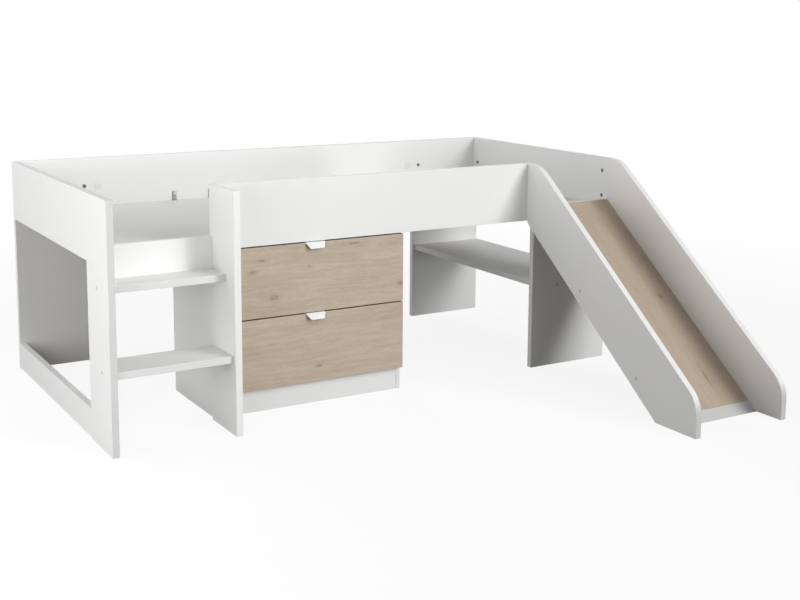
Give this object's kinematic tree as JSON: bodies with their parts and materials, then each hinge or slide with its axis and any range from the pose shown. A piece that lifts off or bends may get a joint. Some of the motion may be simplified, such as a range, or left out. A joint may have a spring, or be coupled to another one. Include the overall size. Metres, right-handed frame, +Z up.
{
  "type": "kids bed with slide",
  "caption": "Low white board kids bed with a ladder, oak-look drawers in a chest under the base, a desk shelf and an oak-look slide with raised sides at the foot end.",
  "frame": {"origin": "on the floor, under the middle of the whole outline", "axes": "+X along the bed from the ladder end to the slide end, +Y towards the rear rail, +Z up"},
  "size_m": [2.0464, 1.855, 0.78],
  "materials": {
    "white_board": "satin white melamine",
    "oak_board": "matt oak decor",
    "drawer_board": "white foil",
    "hardboard": "white lacquered hardboard",
    "batten_wood": "planed softwood",
    "base_board": "white melamine",
    "grey_steel": "dull zinc plated",
    "cam_zinc": "dark cast zinc",
    "bright_steel": "bright zinc plated",
    "white_plastic": "matt moulded",
    "white_metal": "white powder coat"
  },
  "bodies": {
    "bed": {"assembly_screws": "bright_steel", "back_rail": "white_board", "base_brackets": "grey_steel", "base_panel_left": "base_board", "base_panel_middle": "base_board", "base_panel_right": "base_board", "cam_bolts": "bright_steel", "cam_locks": "cam_zinc", "chest_back": "hardboard", "chest_bottom": "white_board", "chest_left_side": "white_board", "chest_plinth": "white_board", "chest_right_side": "white_board", "chest_top": "white_board", "cover_caps": "white_plastic", "desk_shelf": "white_board", "entry_batten": "batten_wood", "entry_board": "white_board", "front_batten": "batten_wood", "front_rail": "white_board", "joint_cover_plates": "white_plastic", "joint_strip_left": "batten_wood", "joint_strip_right": "batten_wood", "ladder_side_panel": "white_board", "left_end_panel": "white_board", "lower_chest_runners": "white_metal", "lower_tread": "white_board", "rear_batten": "batten_wood", "rear_left_panel": "white_board", "rear_right_panel": "white_board", "right_end_rail": "white_board", "slide_bay_batten": "batten_wood", "slide_board": "oak_board", "slide_left_side": "white_board", "slide_leg_panel": "white_board", "slide_right_side": "white_board", "slide_toe_strip": "white_board", "upper_chest_runners": "white_metal", "upper_tread": "white_board", "wood_screws": "bright_steel"},
    "lower_drawer": {"lower_drawer_front": "oak_board", "lower_drawer_left_side": "drawer_board", "lower_drawer_right_side": "drawer_board", "lower_drawer_back": "drawer_board", "lower_drawer_bottom": "hardboard", "lower_drawer_handle": "white_metal", "lower_drawer_runners": "white_metal", "lower_drawer_screws": "bright_steel"},
    "upper_drawer": {"upper_drawer_front": "oak_board", "upper_drawer_left_side": "drawer_board", "upper_drawer_right_side": "drawer_board", "upper_drawer_back": "drawer_board", "upper_drawer_bottom": "hardboard", "upper_drawer_handle": "white_metal", "upper_drawer_runners": "white_metal", "upper_drawer_screws": "bright_steel"},
    "lower_chest_rollers": {"lower_chest_rollers": "white_plastic"},
    "lower_drawer_rollers": {"lower_drawer_rollers": "white_plastic"},
    "upper_chest_rollers": {"upper_chest_rollers": "white_plastic"},
    "upper_drawer_rollers": {"upper_drawer_rollers": "white_plastic"}
  },
  "joints": [
    {"name": "lower_drawer_slide", "type": "slide", "parent": "bed", "child": "lower_drawer", "axis": [0, -1, 0], "range_m": [0, 0.27]},
    {"name": "lower_chest_roller_spin", "type": "hinge", "parent": "bed", "child": "lower_chest_rollers", "pos_m": [-0.262, 0.0201, 0.1123], "axis": [1, 0, 0], "range_deg": [0, 1410]},
    {"name": "lower_drawer_roller_spin", "type": "hinge", "parent": "lower_drawer", "child": "lower_drawer_rollers", "pos_m": [-0.262, 0.3255, 0.1123], "axis": [1, 0, 0], "range_deg": [0, 1410]},
    {"name": "upper_drawer_slide", "type": "slide", "parent": "bed", "child": "upper_drawer", "axis": [0, -1, 0], "range_m": [0, 0.27]},
    {"name": "upper_chest_roller_spin", "type": "hinge", "parent": "bed", "child": "upper_chest_rollers", "pos_m": [-0.262, 0.0201, 0.3548], "axis": [1, 0, 0], "range_deg": [0, 1410]},
    {"name": "upper_drawer_roller_spin", "type": "hinge", "parent": "upper_drawer", "child": "upper_drawer_rollers", "pos_m": [-0.262, 0.3255, 0.3548], "axis": [1, 0, 0], "range_deg": [0, 1410]}
  ],
  "couplings": [
    {"joint": "lower_chest_roller_spin", "follows": "lower_drawer_slide", "rad_per_m": 90.909},
    {"joint": "lower_drawer_roller_spin", "follows": "lower_drawer_slide", "rad_per_m": 90.909},
    {"joint": "upper_chest_roller_spin", "follows": "upper_drawer_slide", "rad_per_m": 90.909},
    {"joint": "upper_drawer_roller_spin", "follows": "upper_drawer_slide", "rad_per_m": 90.909}
  ]
}
